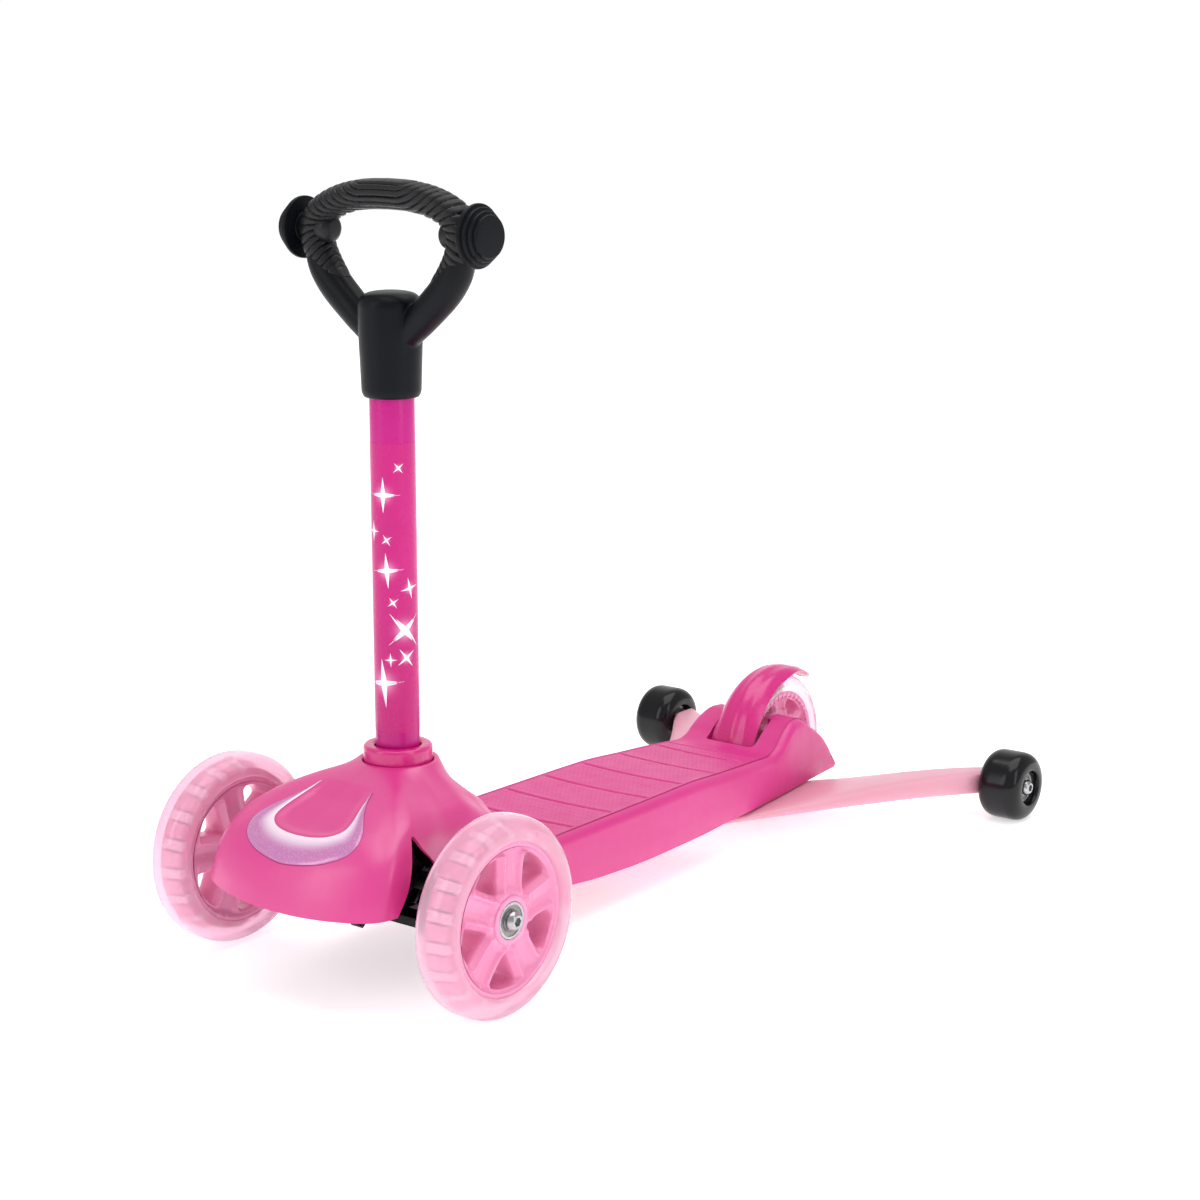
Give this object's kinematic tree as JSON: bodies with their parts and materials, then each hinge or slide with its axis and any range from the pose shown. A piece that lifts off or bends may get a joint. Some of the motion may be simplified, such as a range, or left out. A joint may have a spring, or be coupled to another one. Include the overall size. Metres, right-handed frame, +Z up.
{
  "type": "kick scooter",
  "caption": "Child's three-wheeled kick scooter with a turning loop handle, grooved deck, foot brake and a swept stabiliser beam with a wheel at each end",
  "frame": {"origin": "on the ground under the middle of the bounding box", "axes": "+Z up, +Y towards the rear wheel, so the nose faces -Y; +X is the picture's near side"},
  "size_m": [0.343, 0.622, 0.4735],
  "materials": {
    "pink_plastic": "satin moulded plastic",
    "deep_pink": "glossy painted tube and collar",
    "pale_pink_plastic": "satin moulded plastic",
    "pink_tyre": "translucent polyurethane",
    "clear_tyre": "nearly clear polyurethane",
    "wheel_core": "moulded plastic",
    "lavender_inlay": "pearly lacquered trim",
    "black_wheel": "smooth hard polyurethane",
    "grip_rubber": "soft ribbed rubber",
    "black_plastic": "fine satin moulded plastic",
    "plated_steel": "zinc plated"
  },
  "bodies": {
    "root": {"beam_screw_1": "plated_steel", "beam_screw_2": "plated_steel", "brake_pin": "plated_steel", "brake_spring": "plated_steel", "chassis_screw_1": "plated_steel", "chassis_screw_2": "plated_steel", "chassis_screw_3": "plated_steel", "chassis_screw_4": "plated_steel", "column_collar": "deep_pink", "deck": "pink_plastic", "front_chassis": "black_plastic", "hood": "pink_plastic", "hood_inlay": "lavender_inlay", "hood_screw_left": "plated_steel", "hood_screw_right": "plated_steel", "kingpin_left": "plated_steel", "kingpin_right": "plated_steel", "rear_axle": "plated_steel", "rear_axle_sleeve_left": "plated_steel", "rear_axle_sleeve_right": "plated_steel", "stabiliser_beam": "pale_pink_plastic", "stabiliser_bolt_left": "plated_steel", "stabiliser_bolt_right": "plated_steel", "stabiliser_insert_left": "plated_steel", "stabiliser_insert_right": "plated_steel"},
    "column": {"steering_column": "deep_pink", "steering_crank": "black_plastic", "handle_frame": "black_plastic", "handle_grip": "grip_rubber", "handle_screw": "plated_steel", "end_disc_left": "black_plastic", "end_disc_right": "black_plastic"},
    "tie_link": {"tie_link": "black_plastic"},
    "brake": {"brake_lever": "pink_plastic"},
    "rear_wheel": {"rear_tyre": "clear_tyre", "rear_wheel_core": "wheel_core", "rear_bearing_left": "plated_steel", "rear_bearing_right": "plated_steel"},
    "knuckle_left": {"steering_knuckle_left": "black_plastic", "front_axle_bolt_left": "plated_steel", "front_spacer_left": "plated_steel"},
    "front_wheel_left": {"front_tyre_left": "pink_tyre", "front_wheel_core_left": "wheel_core", "front_bearing_outer_left": "plated_steel", "front_bearing_inner_left": "plated_steel"},
    "stabiliser_wheel_left": {"stabiliser_wheel_left": "black_wheel", "stabiliser_bearing_outer_left": "plated_steel", "stabiliser_bearing_inner_left": "plated_steel"},
    "knuckle_right": {"steering_knuckle_right": "black_plastic", "front_axle_bolt_right": "plated_steel", "front_spacer_right": "plated_steel"},
    "front_wheel_right": {"front_tyre_right": "pink_tyre", "front_wheel_core_right": "wheel_core", "front_bearing_outer_right": "plated_steel", "front_bearing_inner_right": "plated_steel"},
    "stabiliser_wheel_right": {"stabiliser_wheel_right": "black_wheel", "stabiliser_bearing_outer_right": "plated_steel", "stabiliser_bearing_inner_right": "plated_steel"}
  },
  "joints": [
    {"name": "steer", "type": "hinge", "parent": "root", "child": "column", "pos_m": [0, -0.201, 0.13], "axis": [0, 0, 1], "range_deg": [-20, 20]},
    {"name": "tie_link_turn", "type": "hinge", "parent": "column", "child": "tie_link", "pos_m": [0, -0.179, 0.0525], "axis": [0, 0, 1], "range_deg": [-20, 20]},
    {"name": "kingpin_left", "type": "hinge", "parent": "root", "child": "knuckle_left", "pos_m": [0.075, -0.238, 0.06], "axis": [0, 0, 1], "range_deg": [-20, 20]},
    {"name": "front_wheel_spin_left", "type": "hinge", "parent": "knuckle_left", "child": "front_wheel_left", "pos_m": [0.1075, -0.238, 0.06], "axis": [1, 0, 0], "continuous": true},
    {"name": "stabiliser_wheel_spin_left", "type": "hinge", "parent": "root", "child": "stabiliser_wheel_left", "pos_m": [0.155, 0.286, 0.025], "axis": [1, 0, 0], "continuous": true},
    {"name": "kingpin_right", "type": "hinge", "parent": "root", "child": "knuckle_right", "pos_m": [-0.075, -0.238, 0.06], "axis": [0, 0, 1], "range_deg": [-20, 20]},
    {"name": "front_wheel_spin_right", "type": "hinge", "parent": "knuckle_right", "child": "front_wheel_right", "pos_m": [-0.1075, -0.238, 0.06], "axis": [1, 0, 0], "continuous": true},
    {"name": "stabiliser_wheel_spin_right", "type": "hinge", "parent": "root", "child": "stabiliser_wheel_right", "pos_m": [-0.155, 0.286, 0.025], "axis": [1, 0, 0], "continuous": true},
    {"name": "rear_wheel_spin", "type": "hinge", "parent": "root", "child": "rear_wheel", "pos_m": [0, 0.206, 0.05], "axis": [1, 0, 0], "continuous": true},
    {"name": "brake_press", "type": "hinge", "parent": "root", "child": "brake", "pos_m": [0, 0.1465, 0.0455], "axis": [-1, 0, 0], "range_deg": [0, 1.2], "stiffness_Nm_per_rad": 1, "springref_deg": -2.86}
  ],
  "couplings": [
    {"joint": "tie_link_turn", "follows": "steer", "ratio": -1},
    {"joint": "kingpin_left", "follows": "steer", "ratio": 1},
    {"joint": "kingpin_right", "follows": "steer", "ratio": 1}
  ]
}
